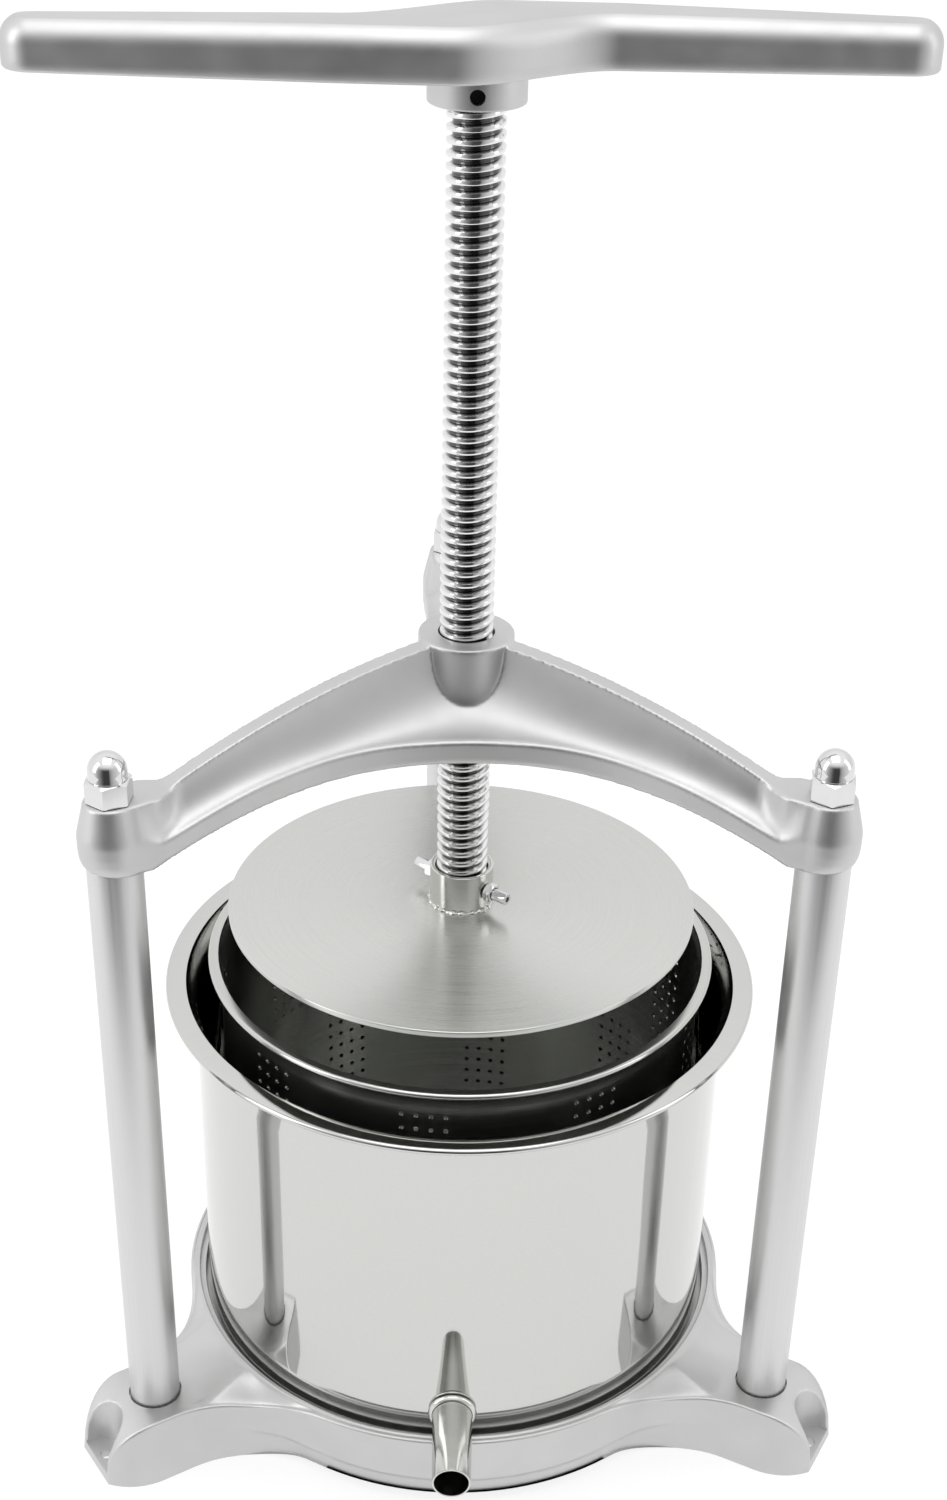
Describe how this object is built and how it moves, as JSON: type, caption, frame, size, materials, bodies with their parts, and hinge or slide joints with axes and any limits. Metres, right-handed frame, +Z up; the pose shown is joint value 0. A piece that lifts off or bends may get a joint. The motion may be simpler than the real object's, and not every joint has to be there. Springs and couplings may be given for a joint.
{
  "type": "cheese press",
  "caption": "Screw press for fresh cheese: lobed base, column frame, bridge, two-armed handle, pressing plate, spouted pot and perforated basket.",
  "frame": {"origin": "on the screw's axis, in the plane that the base stands on", "axes": "+Z up along the screw, -Y towards the front, where the spout points, +X to the right as seen from the front"},
  "size_m": [0.3738, 0.3807, 0.66],
  "materials": {
    "cast_aluminium": "bead-blasted casting",
    "satin_tube": "satin drawn tube",
    "bright_plate": "bright plating",
    "mirror_steel": "mirror-polished stainless steel",
    "brushed_steel": "brushed stainless steel",
    "bush_bronze": "machined bronze",
    "zinc_steel": "zinc-plated steel"
  },
  "bodies": {
    "frame": {"base_casting": "cast_aluminium", "column_rear": "satin_tube", "column_front_left": "satin_tube", "column_front_right": "satin_tube", "tie_rod_rear": "zinc_steel", "tie_rod_front_left": "zinc_steel", "tie_rod_front_right": "zinc_steel", "bottom_washer_rear": "zinc_steel", "bottom_washer_front_left": "zinc_steel", "bottom_washer_front_right": "zinc_steel", "bottom_nut_rear": "zinc_steel", "bottom_nut_front_left": "zinc_steel", "bottom_nut_front_right": "zinc_steel", "cap_nut_rear": "bright_plate", "cap_nut_front_left": "bright_plate", "cap_nut_front_right": "bright_plate", "spider_casting": "cast_aluminium", "thread_bush": "bush_bronze"},
    "plate": {"press_disc": "brushed_steel", "screw_socket": "brushed_steel", "retaining_screw_right": "bright_plate", "retaining_screw_left": "bright_plate", "lock_nut_right": "bright_plate", "lock_nut_left": "bright_plate"},
    "screw": {"press_screw": "bright_plate", "handle_casting": "cast_aluminium", "handle_pin": "zinc_steel"},
    "pot": {"pot_shell": "mirror_steel", "spout_tube": "brushed_steel", "spout_collar": "brushed_steel"},
    "basket": {"basket_shell": "brushed_steel"}
  },
  "joints": [
    {"name": "plate_travel", "type": "slide", "parent": "frame", "child": "plate", "axis": [0, 0, 1], "range_m": [-0.185, 0.055]},
    {"name": "screw_turn", "type": "hinge", "parent": "plate", "child": "screw", "pos_m": [0, 0, 0], "axis": [0, 0, 1], "range_deg": [-13330, 3970]},
    {"name": "pot_lift", "type": "slide", "parent": "frame", "child": "pot", "axis": [0, 0, 1], "range_m": [0, 0.012]},
    {"name": "basket_lift", "type": "slide", "parent": "pot", "child": "basket", "axis": [0, 0, 1], "range_m": [0, 0.02]}
  ],
  "couplings": [
    {"joint": "screw_turn", "follows": "plate_travel", "rad_per_m": 1256.6}
  ]
}
